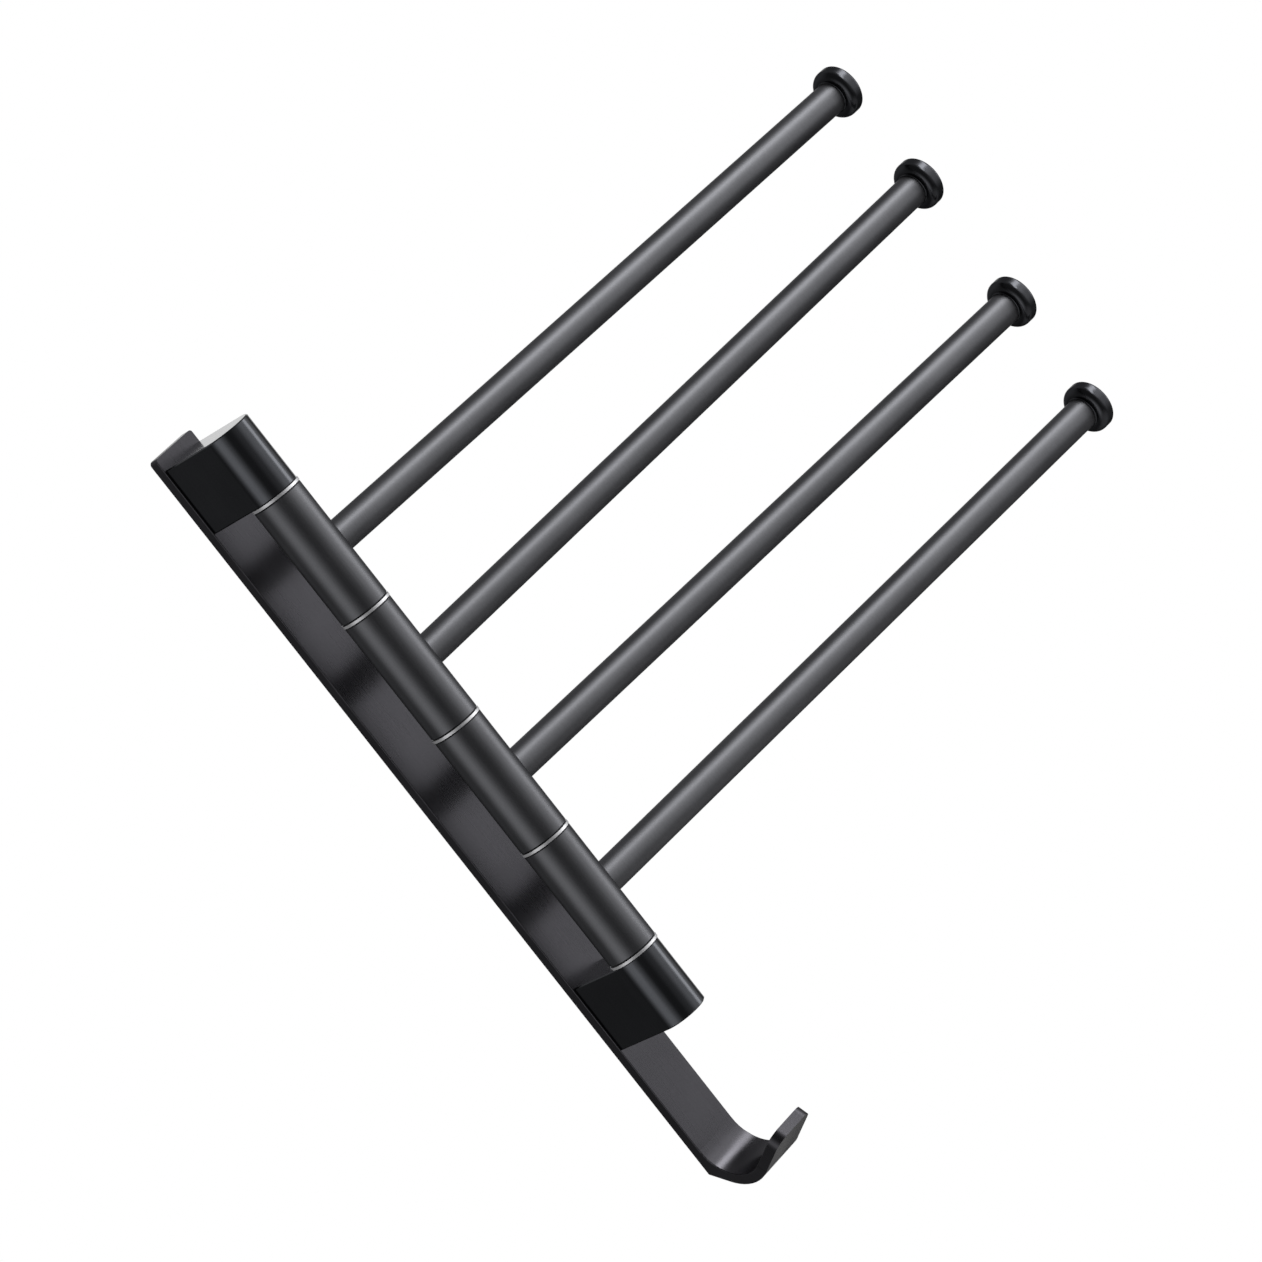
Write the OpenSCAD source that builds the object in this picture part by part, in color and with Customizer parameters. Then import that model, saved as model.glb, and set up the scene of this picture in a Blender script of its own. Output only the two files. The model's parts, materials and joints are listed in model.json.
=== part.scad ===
// Swing arm towel rack: a flat back strip whose lower end is bent into a robe hook,
// two brackets that hold an upright pivot, and four arms stacked on that pivot.
// X runs along the wall, +Y points into the wall and +Z up. Y is 0 on the wall,
// and Z is 0 halfway up the stack of sleeves. Lengths are millimetres.

/* [Column] */
// Outer diameter of the swivel sleeves
sleeve_d = 19; // [17:0.5:24]
// Height of one swivel sleeve
sleeve_h = 48; // [44:1:80]
// Chamfer on the outer edges of the sleeves
sleeve_chamfer = 0.5; // [0.1:0.1:1]
// Thickness of the pale washers between the sleeves
washer_t = 1; // [0.6:0.1:2]
// How far a washer's rim stands out from the sleeves
washer_proud = 0.2; // [0:0.1:0.6]
// Diameter of the pivot shaft inside the sleeves
shaft_d = 8; // [7:0.5:9]
// Depth of the shaft's seat in each bracket
shaft_seat = 18; // [12:1:22]
// Distance of the pivot axis from the wall
axis_out = 31; // [26:1:45]
// Wall thickness of the bushes in the sleeves
bush_wall = 2; // [1:0.1:2.5]
// Length of one bush
bush_l = 12; // [8:1:14]

/* [Arms] */
// Reach of an arm from the pivot axis to the outside of its tip cap
arm_reach = 297; // [150:1:400]
// Outer diameter of the rods
rod_d = 12; // [10:0.5:14]
// Wall thickness of the rods
rod_wall = 2; // [1:0.1:2.4]
// Diameter of the tip caps
cap_d = 19.3; // [16:0.1:26]
// Thickness of the tip caps
cap_t = 6.4; // [4.6:0.1:8]
// Radius on the outer edge of the tip caps' rim
cap_rim_r = 1.2; // [0.3:0.1:1.5]
// Radius on the inner edge of that rim, towards the rod
cap_inner_r = 2.8; // [1.5:0.1:3]
// Radius of the hollow where a tip cap meets its rod
cap_neck_r = 0.5; // [0.3:0.1:2]
// Length of a tip cap's spigot inside its rod
cap_spigot_l = 12; // [6:1:20]
// Length of the threaded plug in the base of a rod
plug_l = 14; // [10:1:20]
// Thread diameter of the arm screws
arm_screw_d = 5; // [4:0.5:5.5]
// Head diameter of the arm screws
arm_screw_head_d = 9.2; // [8:0.1:9.4]
// Length of the arm screws
arm_screw_l = 14; // [12:1:18]
// Key size of the socket in the arm screws
arm_screw_key = 3; // [2:0.5:3.5]
// Swing of arm 1, the topmost, out from the wall
arm_1_swing = 4.9; // [-3:0.1:183]
// Swing of arm 2 out from the wall
arm_2_swing = 5.9; // [-3:0.1:183]
// Swing of arm 3 out from the wall
arm_3_swing = 6.2; // [-3:0.1:183]
// Swing of arm 4 out from the wall
arm_4_swing = 5.9; // [-3:0.1:183]
// Rise of arm 1 towards its tip, in degrees
arm_1_lean = -0.5; // [-0.7:0.1:0.7]
// Rise of arm 2 towards its tip, in degrees
arm_2_lean = 0.6; // [-0.7:0.1:0.7]
// Rise of arm 3 towards its tip, in degrees
arm_3_lean = -0.4; // [-0.7:0.1:0.7]
// Rise of arm 4 towards its tip, in degrees
arm_4_lean = -0.1; // [-0.7:0.1:0.7]

/* [Back plate] */
// Thickness of the strip
plate_t = 4; // [3.6:0.1:6]
// How far the strip stands out past each side of the brackets
plate_margin = 0.7; // [0.7:0.1:4]
// Rise of the strip above the upper bracket
plate_rise = 5; // [3:0.5:30]
// Radius of the strip's top corners
plate_corner_r = 1.5; // [0.5:0.5:4]
// Radius along the strip's front edges
plate_edge_r = 0.3; // [0.2:0.1:0.7]

/* [Hook] */
// Drop from the lower bracket to the lowest point of the hook
hook_drop = 62.2; // [45:0.1:100]
// Inner radius of the hook's bend
bend_r = 14; // [10:0.5:20]
// Angle through which the strip is bent
bend_angle = 116.5; // [95:0.5:165]
// Angle of the flat that joins the bend to the strip's back, from the wall
heel_angle = 53; // [30:1:60]
// Straight length of the hook's lip
lip_l = 17.5; // [8:0.5:25]
// Radius of the lip's corners
lip_corner_r = 5; // [1:0.5:8]
// How far each side of the lip, where it was ground after bending, lies inside the strip's
lip_inset = 0.05; // [0.02:0.01:0.1]

/* [Brackets] */
// Height of a bracket
bracket_h = 27; // [26:1:40]
// How far the brackets lie inside the sleeves' outline
bracket_inset = 0.2; // [0:0.1:1]
// Chamfer on the brackets' upper and lower edges
bracket_chamfer = 0.4; // [0.2:0.1:1]
// Thread diameter of the bracket screws and of the lock screw
bracket_screw_d = 3; // [2.5:0.1:3.2]
// Head diameter of the bracket screws
bracket_screw_head_d = 5.5; // [5:0.1:5.8]
// Length of the bracket screws
bracket_screw_l = 11.8; // [8:0.2:16]
// Height between the two screws of a bracket
bracket_screw_pitch = 20; // [19:0.5:21]
// How far the bracket screws lie to either side of the middle
bracket_screw_x = 3.6; // [3.4:0.1:4]
// Key size of the sockets in the bracket screws and in the lock screw
bracket_screw_key = 1.5; // [1.2:0.1:1.6]

/* [Wall strap] */
// Width of the strap behind the strip
strap_w = 13; // [12.5:0.5:14]
// Thickness of the strap
strap_t = 2; // [1.5:0.1:2.2]
// Length of the strap above the underside of its upper lug
strap_above = 13; // [12.5:0.5:16]
// Length of the strap below the underside of its lower lug
strap_below = 8; // [4:0.5:12]
// Width of the lugs that carry the rack
lug_w = 7; // [5:0.5:8]
// Height of the lugs
lug_h = 6.5; // [5:0.5:7.5]
// Height of the window that each lug is cut from
window_h = 9; // [7:0.5:10]
// Distance from a lug's underside to the wall screw hole next to it
hole_from_lug = 22.2; // [16:0.1:60]
// Diameter of the wall screw holes
wall_hole_d = 4.2; // [3.5:0.1:5]
// Diameter of the countersinks of the wall screw holes
wall_sink_d = 6.6; // [6:0.1:7]
// Diameter of the room in the strip for each wall screw's head
head_room_d = 9.5; // [8:0.5:11]
// Depth of that room
head_room_t = 1; // [0.6:0.1:1.2]

/* [Fits] */
// Gap between a sleeve's end and the washer next to it
axial_gap = 0.05; // [0.02:0.01:0.2]
// Radial gap of what turns on the pivot shaft
run_gap = 0.05; // [0.02:0.01:0.1]
// Radial gap of what is pressed or screwed in
fit_gap = 0.03; // [0.01:0.01:0.05]
// Gap between faces that lie beside each other
seat_gap = 0.2; // [0.1:0.05:0.3]
// Gap between the pivot shaft and the arm screws' heads
head_gap = 0.9; // [0.5:0.1:1.2]
// Room to spare when the rack is lifted on to its lugs
lift_gap = 0.5; // [0.3:0.1:1]

/* [Hidden] */
$fn = 96;
arm_count = 4;
ARM_PIECES = ["sleeve", "upper_bush", "lower_bush", "screw", "rod_plug", "rod", "tip_cap"];

satin_black = [0.13, 0.13, 0.14];
pale_washer = [0.86, 0.86, 0.84];
bright_steel = [0.62, 0.63, 0.65];
zinc_steel = [0.55, 0.56, 0.58];
white_nylon = [0.90, 0.89, 0.85];

// How far a cut runs past the face that it opens
over = 1;
// How far the lip runs back into the bend that it is one piece with
join = 0.5;
upward = 1;
downward = -1;
arm_swing = [arm_1_swing, arm_2_swing, arm_3_swing, arm_4_swing];
arm_lean = [arm_1_lean, arm_2_lean, arm_3_lean, arm_4_lean];

sleeve_r = sleeve_d / 2;
shaft_r = shaft_d / 2;
sleeve_bore_r = shaft_r + bush_wall;
pitch = sleeve_h + washer_t + 2 * axial_gap;
stack_top = (arm_count * pitch + washer_t) / 2;
shaft_floor = stack_top + shaft_seat;

rod_r = rod_d / 2;
rod_bore_r = rod_r - rod_wall;
cap_r = cap_d / 2;
rod_end = arm_reach - cap_t - cap_neck_r;
arm_screw_top = shaft_r + head_gap;

bracket_r = sleeve_r - bracket_inset;
bracket_mid = stack_top + bracket_h / 2;
bracket_end = stack_top + bracket_h;

plate_w = 2 * (bracket_r + plate_margin);
plate_top = bracket_end + plate_rise;
bend_outer_r = bend_r + plate_t;
bend_z = bend_outer_r - hook_drop - bracket_end;

strap_top = bracket_mid + strap_above;
strap_bottom = -bracket_mid - strap_below;
wall_hole_z = bracket_mid - hole_from_lug;
pocket_w = strap_w + 2 * seat_gap;
pocket_t = strap_t + seat_gap;
// How far the rack has to be lifted to come off its lugs
lift = lug_h - strap_t + lift_gap;
lug_out = plate_t + seat_gap + strap_t;
slot_w = lug_w + 2 * lift_gap;

function washer_bottom(i) = stack_top - washer_t - (i - 1) * pitch;
function sleeve_mid(i) = washer_bottom(i) - axial_gap - sleeve_h / 2;

// A countersunk screw whose head's face is at Z 0 and whose thread runs up from it
module countersunk_screw(d, head_d, length, key) {
    sink = (head_d - d) / 2;
    difference() {
        union() {
            cylinder(d1 = head_d, d2 = d, h = sink);
            cylinder(d = d, h = length);
        }
        translate([0, 0, -over])
            cylinder(d = key / cos(30), h = over + sink, $fn = 6);
    }
}

// The room for such a screw: open before its head, and as long as its thread and the gap
module countersunk_hole(d, head_d, length, gap, before) {
    sink = (head_d - d) / 2;
    cylinder(d1 = head_d + 2 * gap, d2 = d + 2 * gap, h = sink);
    cylinder(d = d + 2 * gap, h = length + gap);
    translate([0, 0, -before])
        cylinder(d = head_d + 2 * gap, h = before);
}

// What a rounded corner leaves over, in the quarter right of and above its centre
module corner_offcut(r) {
    difference() {
        square(r + over);
        circle(r = r);
    }
}

// The strip's section: X is 0 on its front and plate_t on its back, Y runs across it.
// The inset draws it in all round.
module strip_section(inset = 0) {
    inner_w = plate_w - 2 * plate_edge_r;
    translate([inset, -inner_w / 2])
        square([plate_t - 2 * inset, inner_w]);
    translate([plate_edge_r, inset - plate_w / 2])
        square([plate_t - plate_edge_r - inset, plate_w - 2 * inset]);
    for (side = [-1, 1])
        translate([plate_edge_r, side * inner_w / 2])
            circle(r = plate_edge_r - inset);
}

// The straight strip from the start of the bend to its top
module straight_strip() {
    difference() {
        translate([0, -plate_t, bend_z])
            linear_extrude(plate_top - bend_z)
                mirror([1, -1, 0])
                    strip_section();
        for (side = [0, 1])
            mirror([side, 0, 0])
                translate([plate_w / 2 - plate_corner_r, over, plate_top - plate_corner_r])
                    rotate([90, 0, 0])
                        linear_extrude(plate_t + 2 * over)
                            corner_offcut(plate_corner_r);
    }
}

// The bend and the lip, about the bend's axis: the bend starts on +X and turns to +Y
module bend_and_lip() {
    rotate_extrude(angle = bend_angle)
        translate([bend_r, 0])
            strip_section();
    rotate([0, 0, bend_angle])
        difference() {
            translate([bend_r, lip_l, 0])
                rotate([90, 0, 0])
                    linear_extrude(lip_l + join)
                        strip_section(lip_inset);
            for (side = [0, 1])
                mirror([0, 0, side])
                    translate([bend_r - over, lip_l - lip_corner_r, plate_w / 2 - lip_inset - lip_corner_r])
                        rotate([90, 0, 90])
                            linear_extrude(plate_t + 2 * over)
                                corner_offcut(lip_corner_r);
        }
}

// The corner at the strip's back, outside the bend, with its flat tangent to the bend
module heel() {
    middle_r = (bend_r + bend_outer_r) / 2;
    along = [cos(heel_angle), -sin(heel_angle)];
    centre = [-bend_outer_r, bend_z];
    translate([-plate_w / 2, 0, 0])
        rotate([90, 0, 90])
            linear_extrude(plate_w)
                polygon([
                    centre + [middle_r, 0],
                    [0, bend_z],
                    [0, bend_z - bend_outer_r * tan(heel_angle / 2)],
                    centre + bend_outer_r * along,
                    centre + middle_r * along
                ]);
}

module back_plate() {
    color(satin_black)
        difference() {
            union() {
                straight_strip();
                heel();
                translate([0, -bend_outer_r, bend_z])
                    rotate([-90, 0, 0])
                        rotate([0, -90, 0])
                            bend_and_lip();
            }
            // Pocket for the wall strap, long enough below for the lift
            translate([-pocket_w / 2, -pocket_t, strap_bottom - lift - seat_gap])
                cube([pocket_w, pocket_t + over, strap_top - strap_bottom + lift + 2 * seat_gap]);
            for (side = [-1, 1]) {
                translate([-slot_w / 2, -plate_t - over, side * bracket_mid - lift])
                    cube([slot_w, plate_t + over, lift + strap_t]);
                translate([0, -pocket_t - head_room_t, side * wall_hole_z])
                    rotate([-90, 0, 0])
                        cylinder(d = head_room_d, h = head_room_t + over);
                bracket_screw_places(side)
                    countersunk_hole(bracket_screw_d, bracket_screw_head_d, bracket_screw_l, fit_gap, over);
            }
        }
}

// Puts its children, which run up Z from 0, at the two screws of one bracket
module bracket_screw_places(side) {
    for (end = [-1, 1])
        translate([-end * bracket_screw_x, -pocket_t, side * bracket_mid + end * bracket_screw_pitch / 2])
            rotate([90, 0, 0])
                children();
}

module wall_strap() {
    color(zinc_steel)
        difference() {
            union() {
                translate([-strap_w / 2, -strap_t, strap_bottom])
                    cube([strap_w, strap_t, strap_top - strap_bottom]);
                for (side = [-1, 1])
                    translate([-lug_w / 2, -lug_out, side * bracket_mid]) {
                        cube([lug_w, lug_out, strap_t]);
                        cube([lug_w, strap_t, lug_h]);
                    }
            }
            for (side = [-1, 1]) {
                translate([-lug_w / 2, -strap_t - over / 2, side * bracket_mid + strap_t])
                    cube([lug_w, strap_t + over, window_h]);
                translate([0, -strap_t, side * wall_hole_z])
                    rotate([-90, 0, 0])
                        countersunk_hole(wall_hole_d, wall_sink_d, strap_t + over, 0, over);
            }
        }
}

// A bracket's end view from one side of the pivot axis, chamfered top and bottom
function bracket_edge() = [
    [bracket_r - bracket_chamfer, 0],
    [bracket_r, bracket_chamfer],
    [bracket_r, bracket_h - bracket_chamfer],
    [bracket_r - bracket_chamfer, bracket_h]
];

// One bracket from the strip to its round front; the side tells which end it holds
module bracket(side) {
    edge = bracket_edge();
    bottom = side == upward ? stack_top : -bracket_end;
    mirrored_edge = [for (k = [len(edge) - 1:-1:0]) [-edge[k][0], edge[k][1]]];
    color(satin_black)
        difference() {
            union() {
                translate([0, -plate_t, bottom])
                    rotate([90, 0, 0])
                        linear_extrude(axis_out - plate_t)
                            polygon(concat(edge, mirrored_edge));
                translate([0, -axis_out, bottom])
                    rotate_extrude()
                        polygon(concat([[0, 0]], edge, [[0, bracket_h]]));
            }
            // Seat of the pivot shaft
            translate([0, -axis_out, side * stack_top])
                mirror([0, 0, side == upward ? 0 : 1])
                    translate([0, 0, -over])
                        cylinder(r = shaft_r + fit_gap, h = shaft_seat + over);
            // Room for the lug to come in below its place and rise into it
            translate([-slot_w / 2, -lug_out - lift_gap, side * bracket_mid - lift - seat_gap])
                cube([slot_w, lug_out, lift + seat_gap + lug_h + lift_gap]);
            bracket_screw_places(side)
                countersunk_hole(bracket_screw_d, bracket_screw_head_d, bracket_screw_l, fit_gap, 0);
            if (side == downward)
                translate([0, -lug_out, -bracket_end - over])
                    cylinder(d = bracket_screw_d + 2 * fit_gap, h = over + bracket_h / 2 + seat_gap);
        }
}

module upper_bracket() {
    bracket(upward);
}

module lower_bracket() {
    bracket(downward);
}

module bracket_screws() {
    color(bright_steel)
        for (side = [-1, 1])
            bracket_screw_places(side)
                countersunk_screw(
                    bracket_screw_d, bracket_screw_head_d, bracket_screw_l, bracket_screw_key
                );
}

// The grub screw in the lower bracket, from just inside its underside to the lug
module lock_screw() {
    length = bracket_h / 2 - seat_gap - axial_gap;
    color(bright_steel)
        translate([0, -lug_out, -bracket_end + seat_gap])
            difference() {
                cylinder(d = bracket_screw_d, h = length);
                translate([0, 0, -over])
                    cylinder(d = bracket_screw_key / cos(30), h = over + bracket_screw_key, $fn = 6);
            }
}

module pivot_shaft() {
    color(bright_steel)
        translate([0, -axis_out, -shaft_floor])
            cylinder(r = shaft_r, h = 2 * shaft_floor - seat_gap);
}

module washer(i) {
    color(pale_washer)
        translate([0, -axis_out, washer_bottom(i)])
            difference() {
                cylinder(r = sleeve_r + washer_proud, h = washer_t);
                translate([0, 0, -over])
                    cylinder(r = shaft_r + run_gap, h = washer_t + 2 * over);
            }
}

// Puts its children on arm i: the origin is in the middle of its sleeve, and X runs along it
module on_arm(i) {
    translate([0, -axis_out, sleeve_mid(i)])
        rotate([0, 0, -arm_swing[i - 1]])
            children();
}

// Tips its children with the rod of arm i, turned so that their Z runs out along it
module along_rod(i) {
    rotate([0, 90 - arm_lean[i - 1], 0])
        children();
}

module arm_sleeve(i) {
    color(satin_black)
        on_arm(i)
            difference() {
                rotate_extrude()
                    polygon([
                        [sleeve_bore_r, -sleeve_h / 2],
                        [sleeve_r - sleeve_chamfer, -sleeve_h / 2],
                        [sleeve_r, sleeve_chamfer - sleeve_h / 2],
                        [sleeve_r, sleeve_h / 2 - sleeve_chamfer],
                        [sleeve_r - sleeve_chamfer, sleeve_h / 2],
                        [sleeve_bore_r, sleeve_h / 2]
                    ]);
                along_rod(i)
                    translate([0, 0, arm_screw_top])
                        countersunk_hole(arm_screw_d, arm_screw_head_d, arm_screw_l, fit_gap, arm_screw_top);
            }
}

// One bush, flush with the sleeve's upper or lower end
module arm_bush(i, side) {
    color(white_nylon)
        on_arm(i)
            mirror([0, 0, side == upward ? 0 : 1])
                translate([0, 0, sleeve_h / 2 - bush_l])
                    difference() {
                        cylinder(r = sleeve_bore_r - fit_gap, h = bush_l);
                        translate([0, 0, -over])
                            cylinder(r = shaft_r + run_gap, h = bush_l + 2 * over);
                    }
}

module arm_screw(i) {
    color(bright_steel)
        on_arm(i)
            along_rod(i)
                translate([0, 0, arm_screw_top])
                    countersunk_screw(arm_screw_d, arm_screw_head_d, arm_screw_l, arm_screw_key);
}

// The threaded plug in the rod's base, just clear of the sleeve
module arm_rod_plug(i) {
    color(bright_steel)
        on_arm(i)
            along_rod(i)
                translate([0, 0, sleeve_r + seat_gap])
                    difference() {
                        cylinder(r = rod_bore_r - fit_gap, h = plug_l);
                        translate([0, 0, -over])
                            cylinder(r = arm_screw_d / 2 + fit_gap, h = plug_l + 2 * over);
                    }
}

// The tube of an arm, its base cut to the sleeve's round
module arm_rod(i) {
    color(satin_black)
        on_arm(i)
            difference() {
                along_rod(i)
                    difference() {
                        cylinder(r = rod_r, h = rod_end);
                        translate([0, 0, -over])
                            cylinder(r = rod_bore_r, h = rod_end + 2 * over);
                    }
                cylinder(r = sleeve_r + fit_gap, h = sleeve_h, center = true);
            }
}

// The tip cap: its spigot in the rod, a hollow neck and a disc with a rim rounded on both sides
module arm_tip_cap(i) {
    neck_r = rod_r + cap_neck_r;
    color(satin_black)
        on_arm(i)
            along_rod(i)
                translate([0, 0, rod_end])
                    rotate_extrude() {
                        translate([0, -cap_spigot_l])
                            square([rod_bore_r - fit_gap, cap_spigot_l + over]);
                        difference() {
                            square([neck_r, cap_neck_r]);
                            translate([neck_r, 0])
                                circle(r = cap_neck_r);
                        }
                        translate([0, cap_neck_r])
                            cap_section();
                    }
}

// Half of a tip cap's disc, for turning about its axis
module cap_section() {
    square([cap_r - cap_inner_r, cap_t - cap_rim_r]);
    translate([0, cap_inner_r])
        square([cap_r, cap_t - cap_rim_r - cap_inner_r]);
    translate([0, cap_inner_r])
        square([cap_r - cap_rim_r, cap_t - cap_inner_r]);
    translate([cap_r - cap_inner_r, cap_inner_r])
        circle(r = cap_inner_r);
    translate([cap_r - cap_rim_r, cap_t - cap_rim_r])
        circle(r = cap_rim_r);
}

back_plate();
wall_strap();
upper_bracket();
lower_bracket();
bracket_screws();
lock_screw();
pivot_shaft();
for (i = [1:arm_count + 1])
    washer(i);
for (i = [1:arm_count]) {
    arm_sleeve(i);
    arm_bush(i, upward);
    arm_bush(i, downward);
    arm_screw(i);
    arm_rod_plug(i);
    arm_rod(i);
    arm_tip_cap(i);
}
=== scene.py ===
import json
import math

import bpy
from mathutils import Matrix, Vector


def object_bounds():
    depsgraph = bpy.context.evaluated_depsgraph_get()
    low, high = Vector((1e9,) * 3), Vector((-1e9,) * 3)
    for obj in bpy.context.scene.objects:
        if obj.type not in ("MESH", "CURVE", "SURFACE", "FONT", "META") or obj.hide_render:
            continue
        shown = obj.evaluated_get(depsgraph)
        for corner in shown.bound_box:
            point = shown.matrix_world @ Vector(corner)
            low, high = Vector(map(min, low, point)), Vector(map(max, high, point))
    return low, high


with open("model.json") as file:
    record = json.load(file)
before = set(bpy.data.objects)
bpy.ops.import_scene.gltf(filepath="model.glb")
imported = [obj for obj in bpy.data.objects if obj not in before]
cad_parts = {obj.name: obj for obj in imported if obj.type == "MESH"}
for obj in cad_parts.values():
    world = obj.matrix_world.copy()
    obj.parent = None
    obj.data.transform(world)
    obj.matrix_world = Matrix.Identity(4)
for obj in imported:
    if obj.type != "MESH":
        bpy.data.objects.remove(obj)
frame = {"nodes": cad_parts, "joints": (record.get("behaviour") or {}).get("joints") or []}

# The box of the imported solids, whose middle the softboxes face
solid_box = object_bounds()

MM = 0.001
# The pivot axis's distance from the wall
AXIS_OUT = -frame["joints"][0]["pos_m"][1]
# Each arm's swing out from the wall at rest, in degrees
SWING = {1: 4.9, 2: 5.9, 3: 6.2, 4: 5.9}
WASHERS = (1, 2, 3, 4, 5)


# Camera: it looks at the rack from its front left and a little from above, rolled far over

IMAGE_W = 1262
FOCAL_PX = 6800
SENSOR_MM = 36
CAMERA_TURN = math.radians(-39.443)
CAMERA_DIP = math.radians(8.671)
CAMERA_ROLL = math.radians(37.896)
CAMERA_AWAY = 2302.3 * MM
CAMERA_RIGHT = 85.34 * MM
CAMERA_UP = -14.91 * MM
NEAREST_SEEN = 0.1
FURTHEST_SEEN = 50
# The azimuth that the camera looks along, counted in degrees from +X towards +Y
AHEAD = 90 + math.degrees(CAMERA_TURN)


def looking():
    """The camera's unrolled axes: to its right, up, and the way that it looks."""
    turn, dip = CAMERA_TURN, CAMERA_DIP
    forward = Vector((-math.sin(turn) * math.cos(dip), math.cos(turn) * math.cos(dip), -math.sin(dip)))
    right = Vector((math.cos(turn), math.sin(turn), 0))
    return right, right.cross(forward), forward


def place_camera():
    right, up, forward = looking()
    where = right * CAMERA_RIGHT + up * CAMERA_UP - forward * CAMERA_AWAY
    cosine, sine = math.cos(CAMERA_ROLL), math.sin(CAMERA_ROLL)
    lens = bpy.data.cameras.new("camera")
    lens.sensor_width = SENSOR_MM
    lens.lens = FOCAL_PX * SENSOR_MM / IMAGE_W
    lens.clip_start = NEAREST_SEEN
    lens.clip_end = FURTHEST_SEEN
    camera = bpy.data.objects.new("camera", lens)
    rolled_right = right * cosine - up * sine
    rolled_up = right * sine + up * cosine
    axes = Matrix((rolled_right, rolled_up, -forward)).transposed()
    camera.matrix_world = Matrix.Translation(where) @ axes.to_4x4()
    bpy.context.scene.collection.objects.link(camera)
    bpy.context.scene.camera = camera


# Shader maths

class Wire:
    """A number that flows through a node tree. Arithmetic on it adds Math nodes."""

    def __init__(self, tree, socket):
        self.tree = tree
        self.socket = socket

    def maths(self, operation, *values):
        return self.tree.add("ShaderNodeMath", {"operation": operation}, dict(enumerate(values)))

    def __add__(self, other):
        return self.maths("ADD", self, other)

    def __sub__(self, other):
        return self.maths("SUBTRACT", self, other)

    def __rsub__(self, other):
        return self.maths("SUBTRACT", other, self)

    def __mul__(self, other):
        return self.maths("MULTIPLY", self, other)

    __radd__ = __add__
    __rmul__ = __mul__

    def larger(self, other):
        return self.maths("MAXIMUM", self, other)

    def step(self, low, high):
        """0 below low, 1 above high and a soft rise between them."""
        return self.tree.add("ShaderNodeMapRange", {"interpolation_type": "SMOOTHSTEP"}, {
            "Value": self,
            "From Min": low,
            "From Max": high,
        })


class Tree:
    """A node tree that is built by naming nodes, their settings and what feeds their sockets."""

    def __init__(self, owner):
        owner.use_nodes = True
        self.nodes = owner.node_tree.nodes
        self.links = owner.node_tree.links
        self.nodes.clear()

    def add(self, kind, settings=None, sockets=None, out=0):
        node = self.nodes.new(kind)
        for name, value in (settings or {}).items():
            setattr(node, name, value)
        for name, value in (sockets or {}).items():
            if isinstance(value, Wire):
                self.links.new(value.socket, node.inputs[name])
            else:
                node.inputs[name].default_value = value
        return Wire(self, node.outputs[out]) if node.outputs else None

    def place(self):
        """The place on the object."""
        return self.add("ShaderNodeTexCoord", out="Object")

    def turned(self, turn=(0, 0, 0), scale=(1, 1, 1)):
        """The place on the object, turned and stretched for a pattern."""
        return self.add("ShaderNodeMapping", {}, {
            "Vector": self.place(),
            "Rotation": turn,
            "Scale": scale,
        })

    def noise(self, where, scale, detail=2.0, roughness=0.5):
        return self.add("ShaderNodeTexNoise", {}, {
            "Vector": where,
            "Scale": scale,
            "Detail": detail,
            "Roughness": roughness,
        })

    def length(self, vector):
        return self.add("ShaderNodeVectorMath", {"operation": "LENGTH"}, {0: vector}, out="Value")

    def mix(self, amount, first, second):
        """One colour turning into another, each given without its alpha."""
        return self.add("ShaderNodeMix", {"data_type": "RGBA"}, {
            0: amount,
            6: (*first, 1),
            7: (*second, 1),
        }, out=2)

    def bump(self, height, distance):
        return self.add("ShaderNodeBump", {}, {"Height": height, "Distance": distance})


def principled(name, build):
    """A material whose Principled shader gets the sockets that build(tree) returns."""
    material = bpy.data.materials.new(name)
    tree = Tree(material)
    surface = tree.add("ShaderNodeBsdfPrincipled", {}, build(tree))
    tree.add("ShaderNodeOutputMaterial", {}, {"Surface": surface})
    return material


def times(factor, colour):
    return tuple(factor * part for part in colour)


# Finishes; the strip's and the caps' blacks are partly painted shade

BLACK = (0.086, 0.087, 0.093)
# The strip's black is partly its own and partly painted shade: darker than the sleeves' black, to stand
# for the shade the column casts on the strip
STRIP_BLACK_AND_SHADE = (0.048, 0.047, 0.052)
BLOCK_BLACK = (0.049, 0.051, 0.056)
# The caps' black is partly their own and partly painted shade: darker than the bracket black, to stand
# for the dark inner faces of the caps
CAP_BLACK_AND_SHADE = (0.039, 0.040, 0.044)
WASHER_STEEL = (0.66, 0.66, 0.675)
SCREW_STEEL = (0.62, 0.62, 0.63)
STRAP_ZINC = (0.55, 0.56, 0.58)
NYLON_SHADE = (0.74, 0.73, 0.68)
NYLON_LIGHT = (0.84, 0.83, 0.79)

# How fine a pattern is, counted in features per metre
BRUSH_LINES = 1700
METAL_SPECKS = 1900
BLACK_CLOUDS = 45
TURNING_RINGS = 9000
STEEL_CLOUDS = 300
SCRATCHES = 3000
STAINS = 160
NYLON_GRAIN = 2500
NYLON_CLOUDS = 200
# How many features a drawn-out pattern has along Z, for each one across it
BRUSH_STRETCH = 0.03
SCRATCH_STRETCH = 0.05
# How high a pattern stands
BRUSH_DEPTH = 0.0015 * MM
RING_DEPTH = 0.004 * MM
SCRATCH_DEPTH = 0.005 * MM
NYLON_DEPTH = 0.01 * MM
# The part of a noise's values in which one tone turns into the other
TONES = (0.3, 0.7)
# A second tone, as a share of the first
ANODISED_PALER = 1.22
TURNED_DARKER = 0.82
STAINED_DARKER = 0.7


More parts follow.
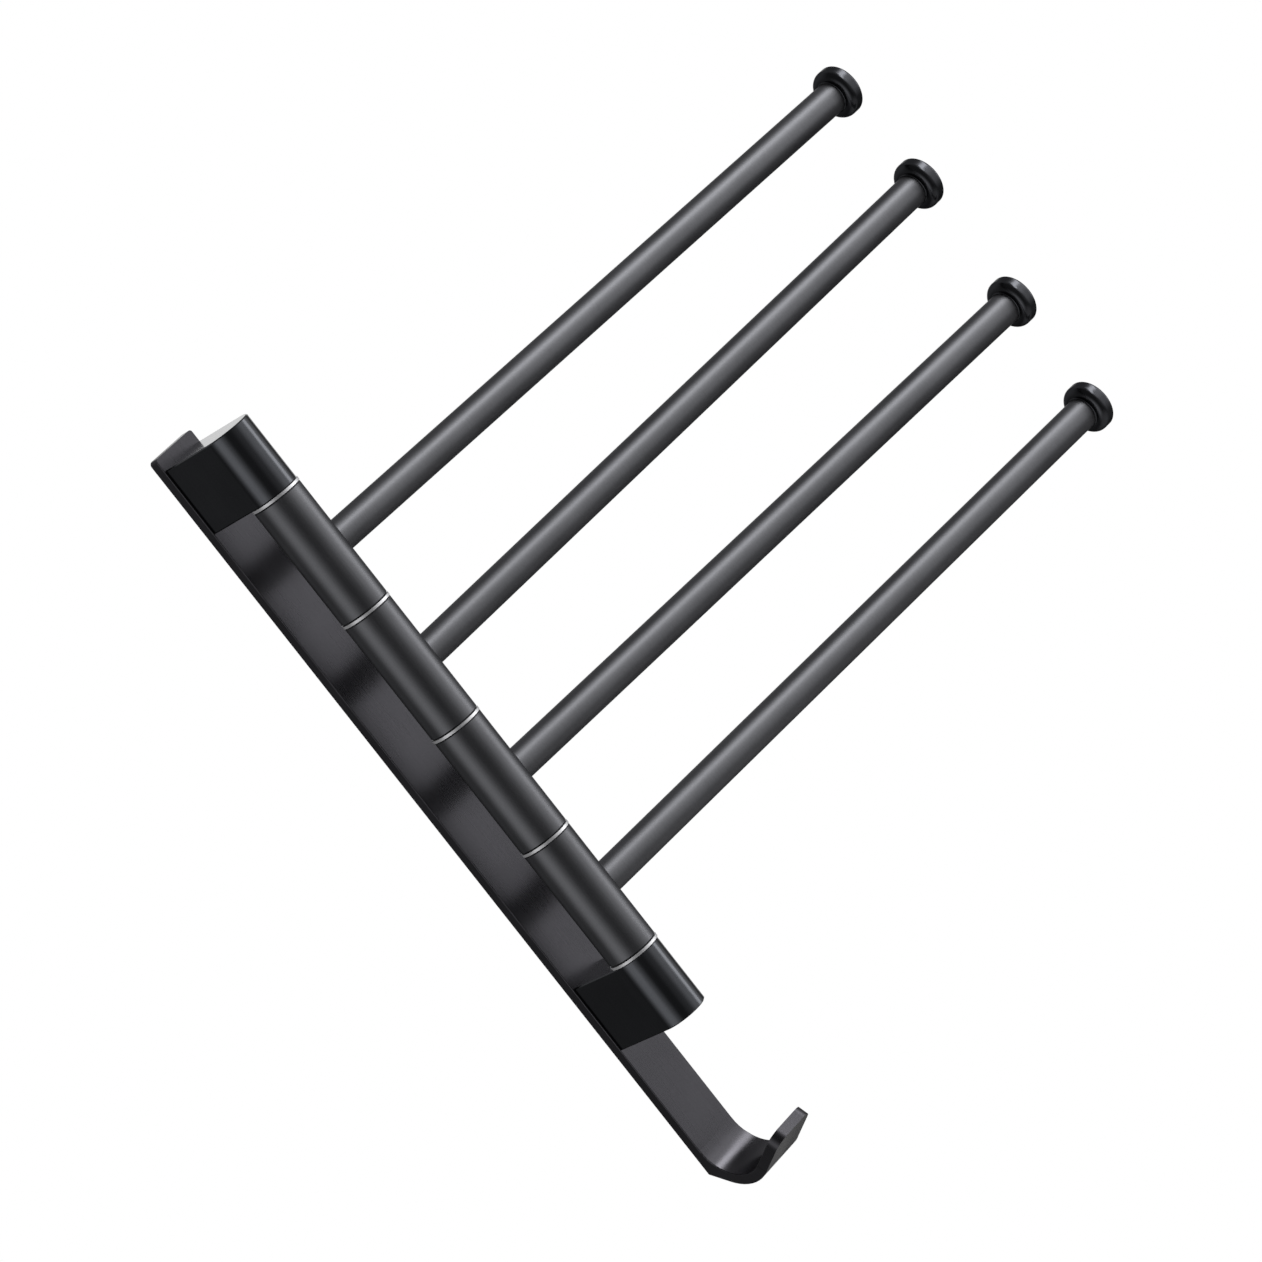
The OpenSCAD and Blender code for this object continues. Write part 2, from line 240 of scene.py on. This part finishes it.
def black_anodised(name, colour, roughness, turn=(0, 0, 0), grain=1.0, brushed=0.0, gleam=0.45):
    """Black anodised metal, brushed along Z before its turn. Brushing spreads gloss across the lines.

    gleam is how much of a bare metal's shine it keeps at a glancing angle.
    """

    def build(tree):
        lines = tree.noise(tree.turned(turn, (1, 1, BRUSH_STRETCH)), BRUSH_LINES, roughness=0.6)
        specks = tree.noise(tree.turned(turn), METAL_SPECKS)
        clouds = tree.noise(tree.turned(turn), BLACK_CLOUDS, detail=3.0)
        shade = (lines * 0.25 + specks * 0.3 + clouds * 0.45).step(*TONES)
        return {
            "Base Color": tree.mix(shade, colour, times(ANODISED_PALER, colour)),
            "Roughness": (lines - 0.5) * 0.06 * grain + (clouds - 0.5) * 0.08 + roughness,
            "Metallic": 1.0,
            "Anisotropic": brushed,
            "Specular Tint": (gleam, gleam, gleam, 1),
            "Normal": tree.bump(lines * 0.4 + specks * 0.6, BRUSH_DEPTH * grain),
        }

    return principled(name, build)


def turned_steel(name, colour, roughness):
    """Bright steel, turned on a lathe about the pivot axis."""

    def build(tree):
        across = tree.add("ShaderNodeVectorMath", {"operation": "MULTIPLY_ADD"}, {
            0: tree.place(),
            1: (1, 1, 0),
            2: (0, AXIS_OUT, 0),
        })
        rings = tree.add("ShaderNodeTexNoise", {"noise_dimensions": "1D"}, {
            "W": tree.length(across),
            "Scale": TURNING_RINGS,
            "Detail": 2.0,
        })
        clouds = tree.noise(tree.place(), STEEL_CLOUDS)
        return {
            "Base Color": tree.mix(clouds, times(TURNED_DARKER, colour), colour),
            "Metallic": 1.0,
            "Roughness": rings * 0.15 + roughness,
            "Normal": tree.bump(rings, RING_DEPTH),
        }

    return principled(name, build)


def plain_steel(name, colour, roughness):
    """Steel as it comes: fine scratches one way and soft stains."""

    def build(tree):
        scratches = tree.noise(tree.turned(scale=(1, 1, SCRATCH_STRETCH)), SCRATCHES)
        stains = tree.noise(tree.place(), STAINS, detail=3.0)
        return {
            "Base Color": tree.mix(stains.step(*TONES), times(STAINED_DARKER, colour), colour),
            "Metallic": 1.0,
            "Roughness": scratches * 0.2 + stains * 0.1 + roughness,
            "Normal": tree.bump(scratches, SCRATCH_DEPTH),
        }

    return principled(name, build)


def white_nylon(name):
    """Moulded nylon, a little uneven in tone and a little see-through at its surface."""

    def build(tree):
        grain = tree.noise(tree.place(), NYLON_GRAIN)
        clouds = tree.noise(tree.place(), NYLON_CLOUDS)
        return {
            "Base Color": tree.mix(clouds, NYLON_SHADE, NYLON_LIGHT),
            "Roughness": grain * 0.1 + 0.4,
            "Subsurface Weight": 0.05,
            "Subsurface Radius": (MM, MM, MM),
            "Normal": tree.bump(grain, NYLON_DEPTH),
        }

    return principled(name, build)


def dress(material, *names):
    for name in names:
        for slot in frame["nodes"][name].material_slots:
            slot.material = material


def dress_frame():
    # The strip's black is darkened with painted shade
    strip = black_anodised("strip black and painted shade", STRIP_BLACK_AND_SHADE, roughness=0.28, brushed=0.6, gleam=0.65)
    bracket = black_anodised("bracket black and painted shade", BLOCK_BLACK, roughness=0.20, grain=0.4, gleam=0.9)
    washer = turned_steel("washer steel", WASHER_STEEL, roughness=0.42)
    screw = plain_steel("screw steel", SCREW_STEEL, roughness=0.25)
    strap = plain_steel("strap zinc", STRAP_ZINC, roughness=0.35)
    dress(strip, "back_plate")
    dress(bracket, "upper_bracket", "lower_bracket")
    dress(washer, *(f"washer_{number}" for number in WASHERS))
    dress(screw, "bracket_screws", "lock_screw", "pivot_shaft")
    dress(strap, "wall_strap")


def dress_arms():
    nylon = white_nylon("bush nylon")
    steel = plain_steel("arm screw steel", SCREW_STEEL, roughness=0.25)
    for arm, swing in SWING.items():
        # The sleeve is brushed upright, and the rod and its cap along the rod
        along = (0, math.radians(-90), math.radians(swing))
        sleeve = black_anodised(f"sleeve {arm} black and painted shade", BLACK, roughness=0.40)
        rod = black_anodised(f"rod {arm} black and painted shade", BLACK, roughness=0.44, turn=along)
        # The cap's black is darkened with painted shade
        cap = black_anodised(f"cap {arm} black and painted shade", CAP_BLACK_AND_SHADE, roughness=0.24, turn=along, grain=0.6)
        dress(sleeve, f"arm_{arm}_sleeve")
        dress(rod, f"arm_{arm}_rod")
        dress(cap, f"arm_{arm}_tip_cap")
        dress(steel, f"arm_{arm}_screw", f"arm_{arm}_rod_plug")
        dress(nylon, f"arm_{arm}_upper_bush", f"arm_{arm}_lower_bush")


# Studio

# The whole sky's own brightness, where 1 is white
SKY_BRIGHTNESS = 0.12


def heading(azimuth, elevation):
    """The direction at an azimuth, counted from +X towards +Y, and a height, in degrees."""
    around, above = math.radians(azimuth), math.radians(elevation)
    level = math.cos(above)
    return Vector((math.cos(around) * level, math.sin(around) * level, math.sin(above)))


def softbox(name, azimuth, elevation, away, size, brightness):
    """A soft lamp that faces the middle of the rack, as bright at any size, and unseen by the camera."""
    middle = Vector(((solid_box[0][0] + solid_box[1][0]) / 2, -AXIS_OUT, 0))
    out = heading(azimuth, elevation)
    lamp = bpy.data.lights.new(name, "AREA")
    lamp.shape = "RECTANGLE"
    lamp.size, lamp.size_y = size
    lamp.energy = brightness * math.pi * size[0] * size[1]
    holder = bpy.data.objects.new(name, lamp)
    facing = out.to_track_quat("Z", "Y").to_matrix().to_4x4()
    holder.matrix_world = Matrix.Translation(middle + out * away) @ facing
    holder.visible_camera = False
    bpy.context.scene.collection.objects.link(holder)


def hang_lamps():
    softbox("key", azimuth=321, elevation=39, away=1.9, size=(1.7, 0.42), brightness=8.3)
    softbox("right", azimuth=328, elevation=2, away=1.9, size=(0.6, 1.7), brightness=3.3)


def glow(tree, way, azimuth, elevation, reach, brightness, core=0, tall=1.0):
    """A soft glow in the sky, full within core and gone beyond reach, in degrees to its side.

    tall is how many times taller than wide it is.
    """
    flatter = Vector((1, 1, 1 / tall))
    middle = (heading(azimuth, elevation) * flatter).normalized()
    squashed = tree.add("ShaderNodeVectorMath", {"operation": "MULTIPLY"}, {0: way, 1: flatter})
    unit = tree.add("ShaderNodeVectorMath", {"operation": "NORMALIZE"}, {0: squashed})
    near = tree.add("ShaderNodeVectorMath", {"operation": "DOT_PRODUCT"}, {
        0: unit,
        1: middle,
    }, out="Value")
    return near.step(math.cos(math.radians(reach)), math.cos(math.radians(core))) * brightness


def sky_glows(tree, way):
    """The light that the metal's gloss picks up, each glow named for where it lies round the rack."""
    left = glow(tree, way, azimuth=179, elevation=-11, reach=24, tall=1.3, brightness=0.65)
    wide_left = glow(tree, way, azimuth=182, elevation=-12, reach=42, tall=1.2, brightness=0.75)
    right = glow(tree, way, azimuth=322, elevation=8, reach=50, core=5, tall=1.25, brightness=1.14)
    above_front = glow(tree, way, azimuth=294, elevation=24, reach=23, brightness=1.05)
    above_right = glow(tree, way, azimuth=8, elevation=50, reach=42, brightness=0.25)
    behind = glow(tree, way, azimuth=82, elevation=25, reach=60, core=10, brightness=0.4)
    front = glow(tree, way, azimuth=281, elevation=-6, reach=36, brightness=0.2)
    return left + wide_left + right + above_front + above_right + behind + front


def paint_world():
    """White where the camera looks, and where gloss looks on past the rack; soft glows elsewhere."""
    world = bpy.data.worlds.new("studio")
    bpy.context.scene.world = world
    tree = Tree(world)
    way = tree.add("ShaderNodeTexCoord", out="Generated")

    def ray(kind):
        return tree.add("ShaderNodeLightPath", out=kind)

    shown = ray("Is Camera Ray")
    glossy = ray("Is Glossy Ray").larger(ray("Is Transmission Ray"))
    backdrop = glow(tree, way, AHEAD, elevation=0, reach=30, core=16, brightness=0.88) * glossy
    light = backdrop + sky_glows(tree, way) + SKY_BRIGHTNESS
    sky = tree.add("ShaderNodeBackground", {}, {
        "Color": (1, 1, 1, 1),
        "Strength": shown + (1 - shown) * light,
    })
    tree.add("ShaderNodeOutputWorld", {}, {"Surface": sky})


FLOOR_MIDDLE = (0.15, 0, -0.62)
FLOOR_R = 1.0
FLOOR_CORNERS = 96
FLOOR_PALE = (0.86, 0.85, 0.84, 1)
# How far from its middle the floor starts to fade, and where it is gone
FADE_START = 0.15
FADE_END = 0.85


def lay_floor():
    """A plain pale round floor under the rack that fades into the white towards its rim."""
    bpy.ops.mesh.primitive_circle_add(
        vertices=FLOOR_CORNERS,
        radius=FLOOR_R,
        fill_type="NGON",
        location=FLOOR_MIDDLE,
    )
    floor = bpy.context.object
    floor.name = "floor"
    material = bpy.data.materials.new("floor pale")
    tree = Tree(material)
    rim = tree.length(tree.place()).step(FADE_START, FADE_END)
    under = tree.add("ShaderNodeNewGeometry", out="Backfacing")
    matt = tree.add("ShaderNodeBsdfDiffuse", {}, {"Color": FLOOR_PALE})
    clear = tree.add("ShaderNodeBsdfTransparent")
    both = tree.add("ShaderNodeMixShader", {}, {0: rim.larger(under), 1: matt, 2: clear})
    tree.add("ShaderNodeOutputMaterial", {}, {"Surface": both})
    floor.data.materials.append(material)


place_camera()
dress_frame()
dress_arms()
hang_lamps()
paint_world()
lay_floor()
bpy.context.scene.view_settings.view_transform = "Standard"
